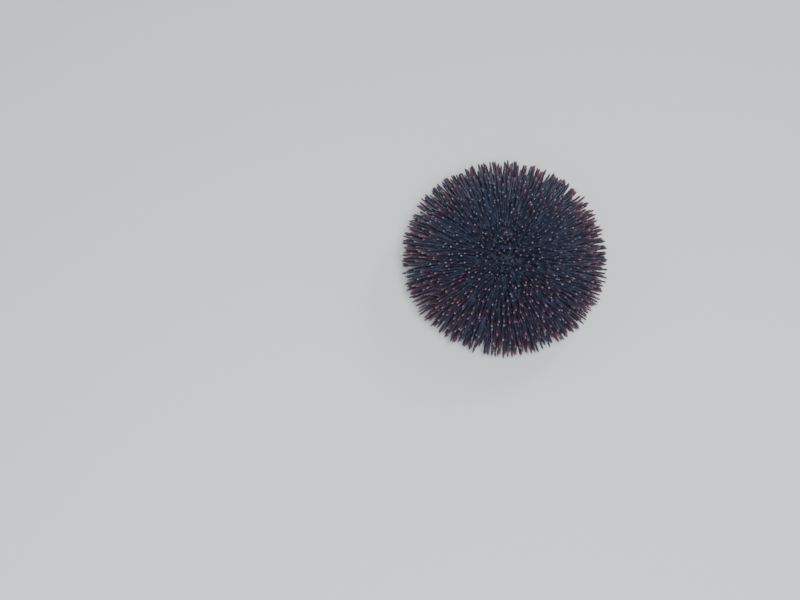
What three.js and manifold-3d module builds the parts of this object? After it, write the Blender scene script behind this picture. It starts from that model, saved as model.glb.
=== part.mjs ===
// A life-size purple sea urchin, with its short blunt spines spread on every side.
// Millimetres, +Z up. The origin is on the floor under the middle of the animal.
// The test, its hard globe, is parted as in life: five narrow ambulacra, which carry
// the tube feet, and five wide interambulacra between them, each with its own spines.
// The apical disc closes the globe on top, and the mouth membrane with five teeth below.

import * as THREE from "three";
import { mergeVertices } from "three/addons/utils/BufferGeometryUtils.js";
import Module from "manifold-3d";

const wasm = await Module();
wasm.setup();

// The globe
const testRadius = 46;
const testRise = 31;
const testDrop = 20;
const ambitusHeight = 28;
const shoulderPower = 2.2;
const apicalRadius = 6;
const mouthRadius = 13;
const apicalDepth = 4;
const mouthDepth = 5;
const globeSteps = 14;
const normalStep = 0.01;
const seam = 0.3;

// The apical disc's plates, and the vent between them
const discSteps = 3;
const discSides = 20;
const discPlates = 5;
const plateSides = 7;
const plateRing = 4.1;
const plateRadius = 1.45;
const sievePlateRadius = 1.75;
const plateRise = 0.45;
const pieceSink = 1;
const ventMoundRadius = 2.1;
const ventMoundRise = 0.7;
const ventMoundSides = 9;
const ventRadius = 0.6;
const ventDepth = 0.6;
const ventSides = 8;
const ventOffset = [0.5, 0.3];
const bossChamfer = 0.6;
const discSpines = 10;
const discSpineRing = 4.5;
const shortestDiscSpine = 0.8;
const discSeed = 3;

// The mouth
const membraneSides = 25;
const membraneHollow = 1.6;
const rimWidth = 2;
const lipRadius = 5.2;
const lipWidth = 1.4;
const lipDrop = 1.6;
const lipRound = 0.5;
const lipSlope = 1.5;
const buccalFeet = 10;
const buccalSides = 7;
const buccalRing = 9.4;
const buccalRadius = 0.85;
const buccalDrop = 1.2;
const buccalPairGap = 0.36;
const teeth = 5;
const toothTipInner = 0.45;
const toothInner = 0.8;
const toothOuter = 3.25;
const toothTipOuter = 1.25;
const toothHalfWidth = 0.85;
const toothTipHalfWidth = 0.3;
const toothLength = 4.6;
const toothKeelShare = 0.4;

// The ten zones
const zonePairs = 5;
const facetTurn = THREE.MathUtils.degToRad(7.2);
const ambulacrumFacets = 4;
const interambulacrumFacets = 6;
const zoneReach = 120;

// The spines. The first length is for those beside the disc, and the last for those by the
// mouth. At a parting the spines of the shoulder lean apart and leave a notch in the outline
const apexSpine = 13;
const ambitusSpine = 19;
const mouthSpine = 12;
const spineSizes = {
  body: { root: 0.95, tip: 0.62, point: 0.55, sink: 2.6, sides: 4 },
  disc: { root: 0.6, tip: 0.42, point: 0.35, sink: 1.6, sides: 4, length: 7 },
};
const spineGap = 5.35;
const meridianSteps = 400;
const lengthCurve = 1.5;
const radialShare = 0.8;
const spineFocus = 32;
const undersideLift = 0.72;
const lengthSpread = 0.07;
const leanSpread = 0.075;
const placeSpread = 0.16;
const spineSeed = 7;
const floorReach = 1.4;
const floorStretch = 0.25;
const partings = [
  { turn: THREE.MathUtils.degToRad(148), width: 0.16, lean: 0.16 },
  { turn: THREE.MathUtils.degToRad(38), width: 0.13, lean: 0.13 },
];
const partingLow = 22;
const partingHigh = 52;
const borderGap = 0.06;

const purple = { color: 0x2a2434, roughness: 0.45, metalness: 0 };
const discPurple = { color: 0x322a38, roughness: 0.55, metalness: 0 };
const membraneBrown = { color: 0x5a3a44, roughness: 0.7, metalness: 0 };
const toothWhite = { color: 0xe6ddcc, roughness: 0.35, metalness: 0 };

const lengthwise = new THREE.Vector3(0, 1, 0);
const upAxis = new THREE.Vector3(0, 0, 1);

// A repeatable draw from 0 to 1
function drawer(seed) {
  let state = seed;
  return () => {
    state = (state + 0x6d2b79f5) | 0;
    let mixed = Math.imul(state ^ (state >>> 15), 1 | state);
    mixed = (mixed + Math.imul(mixed ^ (mixed >>> 7), 61 | mixed)) ^ mixed;
    return ((mixed ^ (mixed >>> 14)) >>> 0) / 4294967296;
  };
}

// The globe's meridian: radius and height at an angle from the apex, 0, to the mouth, pi
function meridian(angle) {
  const power = 2 / shoulderPower;
  const side = Math.cos(angle) >= 0 ? testRise : testDrop;
  const radius = testRadius * Math.abs(Math.sin(angle)) ** power;
  const rise = side * Math.sign(Math.cos(angle)) * Math.abs(Math.cos(angle)) ** power;
  return new THREE.Vector2(radius, ambitusHeight + rise);
}

function angleAtRadius(radius, below) {
  const angle = Math.asin((radius / testRadius) ** (shoulderPower / 2));
  return below ? Math.PI - angle : angle;
}

function outwardNormal(angle) {
  const along = meridian(angle + normalStep).sub(meridian(angle - normalStep));
  return new THREE.Vector2(-along.y, along.x).normalize();
}

// Spines stand between the surface's normal and the line from a point on the axis, and
// those of the underside are lifted outwards, as on an animal that rests on them
function spineDirection(angle) {
  const fromFocus = meridian(angle).sub(new THREE.Vector2(0, spineFocus)).normalize();
  const direction = outwardNormal(angle).lerp(fromFocus, radialShare);
  if (direction.y < 0) direction.y *= undersideLift;
  return direction.normalize();
}

function spineLength(angle) {
  const end = angle < Math.PI / 2 ? apexSpine : mouthSpine;
  return end + (ambitusSpine - end) * Math.sin(angle) ** lengthCurve;
}

// A solid from a closed three.js geometry, and back
function solidOf(geometry) {
  const bare = geometry.index ? geometry.toNonIndexed() : geometry.clone();
  bare.deleteAttribute("normal");
  bare.deleteAttribute("uv");
  const merged = mergeVertices(bare, 1e-4);
  return new wasm.Manifold(
    new wasm.Mesh({
      numProp: 3,
      vertProperties: merged.attributes.position.array,
      triVerts: new Uint32Array(merged.index.array),
    }),
  );
}

function geometryOf(solid) {
  const mesh = solid.getMesh();
  const places = new Float32Array(mesh.numVert * 3);
  for (let i = 0; i < mesh.numVert; i++) {
    places.set(mesh.vertProperties.subarray(i * mesh.numProp, i * mesh.numProp + 3), i * 3);
  }
  return new THREE.BufferGeometry()
    .setAttribute("position", new THREE.BufferAttribute(places, 3))
    .setIndex(new THREE.BufferAttribute(new Uint32Array(mesh.triVerts), 1));
}

function largest(solid) {
  return solid.decompose().sort((a, b) => b.volume() - a.volume())[0];
}

// A solid turned round the vertical axis from a profile listed from the top down
function turned(profile, sides, start = Math.PI / 2) {
  const geometry = new THREE.LatheGeometry([...profile].reverse(), sides, start);
  return solidOf(geometry.rotateX(Math.PI / 2));
}

function sideLine(first, last, steps) {
  return Array.from({ length: steps + 1 }, (_, i) => {
    return meridian(THREE.MathUtils.lerp(first, last, i / steps));
  });
}

const topEdge = angleAtRadius(apicalRadius + seam / 2, false);
const mouthEdge = angleAtRadius(mouthRadius + seam / 2, true);
const globeSides = Math.round((2 * Math.PI) / facetTurn);

// The whole globe, flat where the disc and the mouth will be seated
function globe() {
  const line = sideLine(topEdge, mouthEdge, globeSteps);
  const top = new THREE.Vector2(0, line[0].y);
  const foot = new THREE.Vector2(0, line[line.length - 1].y);
  return turned([top, ...line, foot], globeSides);
}

function column(radius, top, foot) {
  const profile = [
    new THREE.Vector2(0, top),
    new THREE.Vector2(radius, top),
    new THREE.Vector2(radius, foot),
    new THREE.Vector2(0, foot),
  ];
  return turned(profile, globeSides);
}

// The space above the floor, less the seats of the disc and of the mouth
function bodySpace() {
  const block = new THREE.BoxGeometry(2 * zoneReach, 2 * zoneReach, zoneReach);
  const discSeat = meridian(topEdge).y - apicalDepth - seam;
  const mouthSeat = meridian(mouthEdge).y + mouthDepth + seam;
  return solidOf(block.translate(0, 0, zoneReach / 2))
    .subtract(column(apicalRadius + seam / 2, 2 * zoneReach, discSeat))
    .subtract(column(mouthRadius + seam / 2, mouthSeat, -zoneReach));
}

// The space of one zone, between two upright planes through the axis, less half a seam
function zoneSpace(start, turn) {
  const middle = start + turn / 2;
  const inset = seam / 2 / Math.sin(turn / 2);
  const reach = zoneReach / Math.cos(turn / 2);
  const corner = (angle, distance) => [
    Math.cos(middle) * inset + Math.cos(angle) * distance,
    Math.sin(middle) * inset + Math.sin(angle) * distance,
  ];
  const outline = new THREE.Shape();
  outline.moveTo(...corner(start, 0));
  outline.lineTo(...corner(start, reach));
  outline.lineTo(...corner(start + turn, reach));
  outline.closePath();
  const geometry = new THREE.ExtrudeGeometry(outline, { depth: zoneReach, bevelEnabled: false });
  return solidOf(geometry);
}

function namedMesh(name, solid, finish) {
  const mesh = new THREE.Mesh(geometryOf(solid), new THREE.MeshStandardMaterial(finish));
  mesh.name = name;
  return mesh;
}

// A tapered spine with a blunt point, rooted at one place and ending at another
function spine(root, tip, size, roll) {
  const length = root.distanceTo(tip);
  const profile = [
    new THREE.Vector2(0, -size.sink),
    new THREE.Vector2(size.root, -size.sink),
    new THREE.Vector2(size.tip, length - size.point),
    new THREE.Vector2(0, length),
  ];
  const geometry = new THREE.LatheGeometry(profile, size.sides, roll);
  const turn = new THREE.Quaternion().setFromUnitVectors(
    lengthwise,
    tip.clone().sub(root).normalize(),
  );
  return solidOf(geometry.applyQuaternion(turn).translate(root.x, root.y, root.z));
}

// Places along the meridian, one row of spines each, evenly spaced over the surface
function spineRows() {
  const reached = [0];
  const angleOf = (step) => THREE.MathUtils.lerp(topEdge, mouthEdge, step / meridianSteps);
  for (let step = 1; step <= meridianSteps; step++) {
    const hop = meridian(angleOf(step)).distanceTo(meridian(angleOf(step - 1)));
    reached.push(reached[step - 1] + hop);
  }
  const edge = spineSizes.body.root + borderGap;
  const span = reached[meridianSteps] - 2 * edge;
  const rows = Math.round(span / spineGap);
  return Array.from({ length: rows + 1 }, (_, row) => {
    const wanted = edge + (span * row) / rows;
    return angleOf(reached.findIndex((length) => length >= wanted));
  });
}

// Keeps a point clear of its zone's two borders and of the disc or the mouth
function keptInside(point, start, turn, clearance) {
  const clear = clearance + borderGap + seam / 2;
  const least = clear + (point.z > ambitusHeight ? apicalRadius : mouthRadius);
  const radius = Math.max(least, Math.hypot(point.x, point.y));
  const middle = start + turn / 2;
  const local = point.clone().applyAxisAngle(upAxis, -middle);
  const most = Math.max(0, turn / 2 - Math.asin(clear / radius));
  const kept = THREE.MathUtils.clamp(Math.atan2(local.y, local.x), -most, most);
  return onRing(radius, middle + kept, point.z);
}

// How far the spines at a place lean round the axis, away from the partings
function partingLean(place) {
  if (place.z < partingLow || place.z > partingHigh) return 0;
  const here = Math.atan2(place.y, place.x);
  return partings.reduce((sum, { turn, width, lean }) => {
    const off = Math.atan2(Math.sin(here - turn), Math.cos(here - turn)) / width;
    return sum + lean * off * Math.exp(0.5 - off * off);
  }, 0);
}

// All the spines of one zone, row by row from the disc to the mouth
function zoneSpines(start, turn, draw) {
  const size = spineSizes.body;
  const middle = start + turn / 2;
  const spread = (share) => (draw() * 2 - 1) * share;
  const spines = [];
  for (const [row, angle] of spineRows().entries()) {
    const { x: radius } = meridian(angle);
    const width = radius * turn - 2 * (size.root + borderGap + seam / 2);
    const count = Math.max(1, Math.round(width / spineGap) + (row % 2));
    for (let i = 0; i < count; i++) {
      const across = count === 1 ? 0 : width * (i / (count - 1) - 0.5);
      const place = middle + (across + spread(placeSpread * spineGap)) / radius;
      const along = angle + spread(placeSpread * spineGap) / testRadius;
      const seat = meridian(along);
      const root = keptInside(onRing(seat.x, place, seat.y), start, turn, size.root);
      const way = spineDirection(along);
      const lean = new THREE.Vector3(spread(leanSpread), spread(leanSpread), spread(leanSpread));
      const about = Math.atan2(root.y, root.x) + partingLean(root);
      const direction = onRing(way.x, about, way.y).add(lean).normalize();
      const length = spineLength(along) * (1 + spread(lengthSpread));
      const end = root.clone().addScaledVector(direction, length);
      const tip = keptInside(end, start, turn, size.tip);
      if (tip.z < floorReach) tip.addScaledVector(tip.clone().sub(root), floorStretch);
      spines.push(spine(root, tip, size, draw() * Math.PI));
    }
  }
  return spines;
}

// The ten zones of the globe, each with its spines, cut flat where they meet the floor
function zones() {
  const bare = globe();
  const room = bodySpace();
  const draw = drawer(spineSeed);
  const meshes = [];
  let start = 0;
  for (let pair = 1; pair <= zonePairs; pair++) {
    for (const [kind, facets] of [
      ["ambulacrum", ambulacrumFacets],
      ["interambulacrum", interambulacrumFacets],
    ]) {
      const turn = facets * facetTurn;
      const space = room.intersect(zoneSpace(start, turn));
      const grown = wasm.Manifold.union([bare, ...zoneSpines(start, turn, draw)]);
      const zone = largest(grown.intersect(space).asOriginal().simplify());
      meshes.push(namedMesh(`${kind}_${pair}`, zone, purple));
      start += turn;
    }
  }
  return meshes;
}

// A low round boss with chamfered edges, standing on the disc or hanging from the membrane
function boss(radius, rise, sink, sides) {
  const chamfer = bossChamfer * rise;
  return turned(
    [
      new THREE.Vector2(0, rise),
      new THREE.Vector2(radius - chamfer, rise),
      new THREE.Vector2(radius, rise - chamfer),
      new THREE.Vector2(radius, -sink),
      new THREE.Vector2(0, -sink),
    ],
    sides,
  );
}

function onRing(radius, turn, height) {
  return new THREE.Vector3(Math.cos(turn) * radius, Math.sin(turn) * radius, height);
}

// Five plates with a vent mound in the middle. One plate is the larger sieve plate
function apicalDisc() {
  const edge = angleAtRadius(apicalRadius - seam / 2, false);
  const line = sideLine(0, edge, discSteps);
  const under = meridian(angleAtRadius(apicalRadius + seam / 2, false)).y - apicalDepth;
  const radius = line[line.length - 1].x;
  const foot = [new THREE.Vector2(radius, under), new THREE.Vector2(0, under)];
  const body = turned([...line, ...foot], discSides);
  const top = line[0].y;
  const pieces = [body];
  for (let plate = 0; plate < discPlates; plate++) {
    const turn = ((plate + 0.5) / discPlates) * 2 * Math.PI;
    const size = plate === 0 ? sievePlateRadius : plateRadius;
    const place = onRing(plateRing, turn, meridian(angleAtRadius(plateRing, false)).y);
    pieces.push(boss(size, plateRise, pieceSink, plateSides).translate(place.toArray()));
  }
  const mound = boss(ventMoundRadius, ventMoundRise, pieceSink, ventMoundSides);
  pieces.push(mound.translate([0, 0, top]));
  pieces.push(...discSpineSolids());
  const vent = turned(
    [
      new THREE.Vector2(0, ventMoundRise + ventDepth),
      new THREE.Vector2(ventRadius, ventMoundRise + ventDepth),
      new THREE.Vector2(0, ventMoundRise - ventDepth),
    ],
    ventSides,
  ).translate([...ventOffset, top]);
  return largest(wasm.Manifold.union(pieces).subtract(vent).asOriginal().simplify());
}

// Short spines between the plates, kept inside the disc's own column
function discSpineSolids() {
  const size = spineSizes.disc;
  const draw = drawer(discSeed);
  return Array.from({ length: discSpines }, (_, i) => {
    const turn = ((i + 0.5) / discSpines) * 2 * Math.PI;
    const height = meridian(angleAtRadius(discSpineRing, false)).y;
    const root = onRing(discSpineRing, turn, height);
    const widest = apicalRadius - seam / 2 - size.tip;
    const tipRing = THREE.MathUtils.lerp(discSpineRing, widest, draw());
    const tipHeight = height + size.length * THREE.MathUtils.lerp(shortestDiscSpine, 1, draw());
    return spine(root, onRing(tipRing, turn, tipHeight), size, draw() * Math.PI);
  });
}

// The soft disc round the mouth: hollowed upwards, with a lip and five pairs of short feet
function mouthMembrane() {
  const edge = meridian(angleAtRadius(mouthRadius - seam / 2, true));
  const seat = meridian(angleAtRadius(mouthRadius + seam / 2, true)).y + mouthDepth;
  const hollow = edge.y + membraneHollow;
  const lipFoot = hollow - lipDrop;
  const profile = [
    new THREE.Vector2(0, seat),
    new THREE.Vector2(edge.x, seat),
    edge,
    new THREE.Vector2(edge.x - rimWidth, edge.y + 0.5 * membraneHollow),
    new THREE.Vector2(lipRadius + lipSlope, hollow),
    new THREE.Vector2(lipRadius, lipFoot + lipRound),
    new THREE.Vector2(lipRadius - 0.5 * lipWidth, lipFoot),
    new THREE.Vector2(lipRadius - lipWidth, lipFoot + lipRound),
    new THREE.Vector2(lipRadius - lipWidth, hollow),
    new THREE.Vector2(0, hollow),
  ];
  const pieces = [turned(profile, membraneSides)];
  for (let foot = 0; foot < buccalFeet; foot++) {
    const side = (foot % 2 ? -0.5 : 0.5) * buccalPairGap;
    const turn = ((Math.floor(foot / 2) + 0.5 + side) / (buccalFeet / 2)) * 2 * Math.PI;
    const place = onRing(buccalRing, turn, hollow);
    pieces.push(boss(buccalRadius, pieceSink, buccalDrop, buccalSides).translate(place.toArray()));
  }
  return largest(wasm.Manifold.union(pieces));
}

// One tooth: a wedge that hangs inside the lip and narrows to a chisel edge near the axis
function tooth(turn) {
  const root = meridian(angleAtRadius(mouthRadius - seam / 2, true)).y + membraneHollow - seam;
  const section = (inner, outer, half, height) => [
    [inner, -half * toothKeelShare, height],
    [outer, -half, height],
    [outer, half, height],
    [inner, half * toothKeelShare, height],
  ];
  const places = [
    ...section(toothInner, toothOuter, toothHalfWidth, root),
    ...section(toothTipInner, toothTipOuter, toothTipHalfWidth, root - toothLength),
  ];
  const faces = [0, 1, 2, 0, 2, 3, 4, 6, 5, 4, 7, 6];
  for (let side = 0; side < 4; side++) {
    const next = (side + 1) % 4;
    faces.push(side, side + 4, next + 4, side, next + 4, next);
  }
  const geometry = new THREE.BufferGeometry()
    .setAttribute("position", new THREE.Float32BufferAttribute(places.flat(), 3))
    .setIndex(faces);
  return solidOf(geometry.rotateZ(turn));
}

const urchin = new THREE.Group();
urchin.add(...zones());
urchin.add(namedMesh("apical_disc", apicalDisc(), discPurple));
urchin.add(namedMesh("mouth_membrane", mouthMembrane(), membraneBrown));
for (let number = 1; number <= teeth; number++) {
  const turn = (number / teeth) * 2 * Math.PI;
  urchin.add(namedMesh(`tooth_${number}`, tooth(turn), toothWhite));
}

export default urchin;
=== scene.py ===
"""A life-size purple sea urchin, dressed over its solids: test, spines, disc and mouth."""

import math
import random
from types import SimpleNamespace

import bmesh
import bpy
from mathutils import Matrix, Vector, noise


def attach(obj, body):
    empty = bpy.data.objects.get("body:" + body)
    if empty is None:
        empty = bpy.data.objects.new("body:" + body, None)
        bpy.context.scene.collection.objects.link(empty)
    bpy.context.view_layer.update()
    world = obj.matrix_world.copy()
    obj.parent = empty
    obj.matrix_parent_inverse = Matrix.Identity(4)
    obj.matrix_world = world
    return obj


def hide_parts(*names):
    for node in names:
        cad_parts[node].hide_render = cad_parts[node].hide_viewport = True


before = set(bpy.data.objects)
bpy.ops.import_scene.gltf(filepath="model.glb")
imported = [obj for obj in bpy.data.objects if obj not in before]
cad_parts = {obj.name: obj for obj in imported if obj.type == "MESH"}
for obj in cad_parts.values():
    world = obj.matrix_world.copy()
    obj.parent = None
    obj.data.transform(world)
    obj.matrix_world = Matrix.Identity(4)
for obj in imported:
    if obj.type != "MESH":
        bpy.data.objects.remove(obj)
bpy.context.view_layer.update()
MM = 0.001
FULL_TURN = 2 * math.pi

# The globe, as in the part's source, in metres
TEST_RADIUS = 46 * MM
TEST_RISE = 31 * MM
TEST_DROP = 20 * MM
AMBITUS_HEIGHT = 28 * MM
SHOULDER_POWER = 2.2
APICAL_RADIUS = 6 * MM
MOUTH_RADIUS = 13 * MM
RIM_SEAM = 0.15 * MM
ZONE_PAIRS = 5
AMBULACRUM_SHARE = 0.4
ARC_STEPS = 720
NORMAL_STEP = 0.01

# Where spines point: between the surface's normal and the line from a point on the axis
RADIAL_SHARE = 0.8
SPINE_FOCUS = 32 * MM
UNDERSIDE_LIFT = 0.72

# How long spines are: beside the disc, round the widest part and by the mouth
APEX_SPINE = 13 * MM
AMBITUS_SPINE = 19 * MM
MOUTH_SPINE = 12 * MM
LENGTH_CURVE = 1.5
LENGTH_SPREAD = 0.06
SHORT_SHARE = 0.12
SHORTENED = (0.7, 0.92)
TIP_CLEAR = 0.3 * MM

# Neighbours lean alike, in bunches that are taller than they are wide
BUNCH_SIZE = 6 * MM
BUNCH_HEIGHT = 20 * MM
BUNCH_SEED = 4

# Two places where the spines of the shoulder part: turn, width and lean, in radians
PARTINGS = [(math.radians(148), 0.16, 0.22), (math.radians(38), 0.13, 0.17)]
PARTING_LOW = 22 * MM
PARTING_HIGH = 52 * MM

# Four kinds of thing that grow on the test: how thick, how deep the root, and how far they stray
SPINE = SimpleNamespace(radius=0.8 * MM, sink=0.9 * MM, lean=0.1, bunch=0.15, girths=(0.88, 1.15))
SMALL_SPINE = SimpleNamespace(radius=0.42 * MM, sink=0.6 * MM, lean=0.15, bunch=0.09, girths=(0.8, 1.15))
DISC_SPINE = SimpleNamespace(radius=0.5 * MM, sink=0.4 * MM, lean=0.14, bunch=0.1, girths=(0.9, 1.2))
TUBE_FOOT = SimpleNamespace(radius=0.62 * MM, sink=0.5 * MM, lean=0.25, bunch=0.1)

# The main spines' rows: columns where the test is wide, and looser rings above and below
SPINE_SEED = 41
SPINE_FROM_DISC = 0.7 * MM
SPINE_FROM_MOUTH = 0.9 * MM
ROW_OVERLAP = 0.95
ROW_STRAY = 0.36
COLUMN_RADIUS = 37 * MM
COLUMN_GAP = 3.7 * MM
COLUMNS = 84
COLUMN_STRAY = 0.15
COLUMN_SHIFT = 0.06
RING_GAP = 3.1 * MM
RING_LOOSENESS = 1.04
RING_STRAY = 0.3
RING_SHIFT = 0.5
RING_SHIFT_STRAY = 0.1

# The small spines between the main ones
SMALL_SEED = 17
SMALL_FROM_DISC = 0.4 * MM
SMALL_FROM_MOUTH = 0.5 * MM
SMALL_GAP = 2.5 * MM
SMALL_STRAY = 0.45
SMALL_SHARES = (0.45, 0.78)

# The spines on the disc, in two rings
DISC_SEED = 23
DISC_RINGS = (5.3 * MM, 3.6 * MM)
DISC_RING_SPINES = 15
DISC_RING_STRAY = 0.35 * MM
DISC_TURN_STRAY = 0.3
DISC_LENGTHS = (7 * MM, 11.5 * MM)

# The tube feet: two bands down each ambulacrum, over a stretch of the half turn from apex to mouth
FOOT_SEED = 5
FOOT_BANDS = (0.09, 0.91)
FOOT_ROWS = 15
FOOT_FIRST = 0.52
FOOT_SPAN = 0.30
FOOT_ANGLE_STRAY = 0.02
FOOT_TURN_STRAY = 0.025
FOOT_FROM_MOUTH = 1 * MM
FOOT_LENGTHS = (5 * MM, 12 * MM)

# How wine-red a spine is: a little at least, more round the rim, and in patches
WINE_LEAST = 0.05
WINE_AT_RIM = 0.45
WINE_RIM_POWER = 3
WINE_IN_PATCHES = 0.7
WINE_SPREAD = 0.5
WINE_GAIN = 1.4
WINE_PATCH = 17 * MM

# The grown shapes: faces round and along, how rings crowd to the ends, and half width by height
SPINE_SIDES, SPINE_RINGS = 10, 9
SMALL_SIDES, SMALL_RINGS = 6, 5
FOOT_SIDES, FOOT_RINGS = 8, 7
SPINE_SPACING = [(0, 0), (0.14, 0.07), (0.3, 0.16), (0.55, 0.55), (0.78, 0.88), (0.9, 0.965), (1, 1)]
SPINE_OUTLINE = [
    (0, 1.25),
    (0.06, 1.2),
    (0.1, 0.85),
    (0.3, 0.95),
    (0.6, 0.92),
    (0.9, 0.78),
    (0.97, 0.62),
    (1, 0.14),
]
FOOT_SPACING = [(0, 0), (0.4, 0.45), (0.7, 0.9), (0.85, 0.96), (1, 1)]
FOOT_OUTLINE = [(0, 0.6), (0.5, 0.42), (0.88, 0.4), (0.94, 0.85), (0.97, 1.0), (1, 0.7)]
CAP_DIP = 0.04
BAKE_PATCH = 0.003
BAKE_POWER = 2.5

# Spine colours from root to tip: violet calcite, and its wine-red kind. Both are painted lighter and bluer
# towards the root. This is painted light that lifts the shade in the gaps between the spines. They are a
# little lighter again near the tip, partly the tips' own colour and partly the same painted light.
VIOLET_AND_GAP_LIGHT_STOPS = [
    (0.0, (0.044, 0.051, 0.085)),
    (0.4, (0.027, 0.0312, 0.053)),
    (0.7, (0.0145, 0.0163, 0.0288)),
    (0.9, (0.0135, 0.0148, 0.0262)),
    (0.96, (0.024, 0.0245, 0.0385)),
    (0.985, (0.038, 0.039, 0.055)),
]
WINE_AND_GAP_LIGHT_STOPS = [
    (0.0, (0.04, 0.046, 0.078)),
    (0.4, (0.024, 0.026, 0.045)),
    (0.62, (0.015, 0.0135, 0.0235)),
    (0.78, (0.026, 0.0115, 0.0205)),
    (0.9, (0.05, 0.0165, 0.027)),
    (0.96, (0.072, 0.036, 0.05)),
    (0.985, (0.09, 0.062, 0.078)),
]
# The pale tip cap, strong on some spines and faint on most: partly the tip's own paler calcite, partly a
# painted highlight where light glints on the rounded tips
TIP_PALE_AND_HIGHLIGHT_MASK = [(0.94, (0, 0, 0)), (0.97, (1, 1, 1))]
TIP_PALE_AND_HIGHLIGHT = (0.112, 0.106, 0.145)
SMALL_TIP_PALE_AND_HIGHLIGHT = (0.064, 0.061, 0.086)
PALE_DRAW = 7.31
PALE_POWER = 2.0
MOTTLE_SIZE = 1.1 * MM
MOTTLE_SHIFT = 0.03
SHADE_SIZE = 5 * MM
SHADE_SPAN, SHADE_LEAST = 0.7, 0.65
WET_SIZE = 2 * MM
WET_SPAN, WET_LEAST = 0.3, 0.32
SPINE_RIBS = 16
RIB_DEPTH = 0.03 * MM
SMALL_RIB_DEPTH = 0.015 * MM

# The other finishes: their colours, and the sizes of their clouds, grain and relief
SKIN_STOPS = [(0.3, (0.01, 0.013, 0.023)), (0.55, (0.013, 0.016, 0.028)), (0.75, (0.016, 0.017, 0.031))]
SKIN_CLOUDS = 4 * MM
KNOB_STOPS = [(0.0, (1.0, 0.95, 1.0)), (0.5, (0.5, 0.45, 0.5))]
KNOB_SIZE = 1.4 * MM
KNOB_SHADE = 0.35
KNOB_RISE = 0.35 * MM
KNOB_STRENGTH = 0.9
PORE_COLOUR = (0.016, 0.014, 0.024)
PORE_PLACE = 0.42
PORE_WIDTH = 0.045
PORE_SHARE = 0.5
MEMBRANE_DARK, MEMBRANE_LIGHT = (0.05, 0.022, 0.03), (0.17, 0.085, 0.095)
MEMBRANE_GRAIN = 0.4 * MM
FOOT_DARK, FOOT_LIGHT = (0.12, 0.07, 0.1), (0.32, 0.24, 0.3)
FOOT_GRAIN = 0.3 * MM
BLOTCH_SIZE = 2.2 * MM
BLOTCH_MARKS = (0.32, 0.7)
MOIST_SPAN, MOIST_LEAST = 0.3, 0.3
GRAIN_RISE = 0.15 * MM
PLATE_STOPS = [(0.0, (0.006, 0.006, 0.01)), (1.0, (0.018, 0.016, 0.024))]
PLATE_SHADES = [(0.3, (0.6, 0.6, 0.65)), (0.7, (1.0, 0.95, 1.0))]
PLATE_CLOUDS = 1.5 * MM
STIPPLE_SIZE = 0.35 * MM
STIPPLE_RISE = 0.08 * MM
ENAMEL_STOPS = [(0.15, (0.74, 0.69, 0.58)), (0.6, (0.66, 0.57, 0.42)), (1.0, (0.3, 0.2, 0.15))]
ENAMEL_FOOT = 5.2 * MM
ENAMEL_HEIGHT = 4.8 * MM
STAIN_SIZE = 0.9 * MM
STAIN_SHARE = 0.3
GROWTH_LINE = 2.4 * MM
GROWTH_LINE_WAVER = 1.5
GROWTH_LINE_RISE = 0.04 * MM
FLOOR_COLOUR = (0.36, 0.36, 0.355)

# The skin of the test
SKIN_STEPS = 110
SKIN_SIDES = 180
SKIN_FOLD = [(0.1 * MM, 1.2 * MM), (0.3 * MM, 3.2 * MM)]
SKIN_ROOF = 3.6 * MM
SKIN_ROOF_SHARE = 0.5

# The mouth's soft disc. Its outlines are millimetres out and up, from its edge and from the lip
MEMBRANE_SIDES = 210
MEMBRANE_STEPS = 3
MEMBRANE_EDGE = [(0, 0.25), (-0.4, 0.02), (-1.2, 0.35), (-2.4, 0.9), (-4.2, 1.35)]
LIP_OUTLINE = [(1.7, 0), (0.7, -0.5), (0.1, -1.25), (-0.6, -1.6), (-1.2, -1.2), (-1.45, -0.4), (-1.7, 0.1)]
THROAT_RADIUS = 1.5 * MM
THROAT_DEPTH = 0.25 * MM
MEMBRANE_HOLLOW = 1.6 * MM
MEMBRANE_THICKNESS = 1.6 * MM
LIP_RADIUS = 5.2 * MM
LIP_SPREAD = 2.2 * MM
LIP_INSIDE = 2.5 * MM
RIM_STILL = 0.5 * MM
FRILL = 0.22 * MM
FRILLS = 35
FRILL_DRIFT = 3
FOLD = 0.12 * MM
FOLDS = 15
RIPPLE = 0.22 * MM
RIPPLE_SIZE = 1.6 * MM

# The teeth, from root to tip
TEETH = 5
TOOTH_STEPS = 14
TOOTH_SIDES = 12
TOOTH_ROOT_DEPTH = 1.3 * MM
TOOTH_LENGTH = 4.55 * MM
TOOTH_ROOT = SimpleNamespace(outer=3.2 * MM, inner=0.85 * MM, half=0.82 * MM)
TOOTH_TIP = SimpleNamespace(outer=1.2 * MM, inner=0.45 * MM, half=0.3 * MM)
TOOTH_BULGE = 0.35 * MM
TOOTH_BEND = 0.8
TOOTH_TAPER = 0.8
TOOTH_KEEL = 0.25
TOOTH_SQUARENESS = 0.7

# The mouth's feet, in five pairs. The outline is half width and drop, in millimetres
MOUTH_FEET = 10
MOUTH_FOOT_RING = 9.4 * MM
MOUTH_FOOT_ROOT = 1.35 * MM
MOUTH_FOOT_SIDES = 16
MOUTH_FOOT_PAIR = (0.68, 0.32)
MOUTH_FOOT_OUTLINE = [
    (0.55, -0.8),
    (0.5, 0.1),
    (0.42, 0.5),
    (0.45, 0.85),
    (0.85, 1.05),
    (0.92, 1.25),
    (0.6, 1.4),
    (0.15, 1.32),
]

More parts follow.
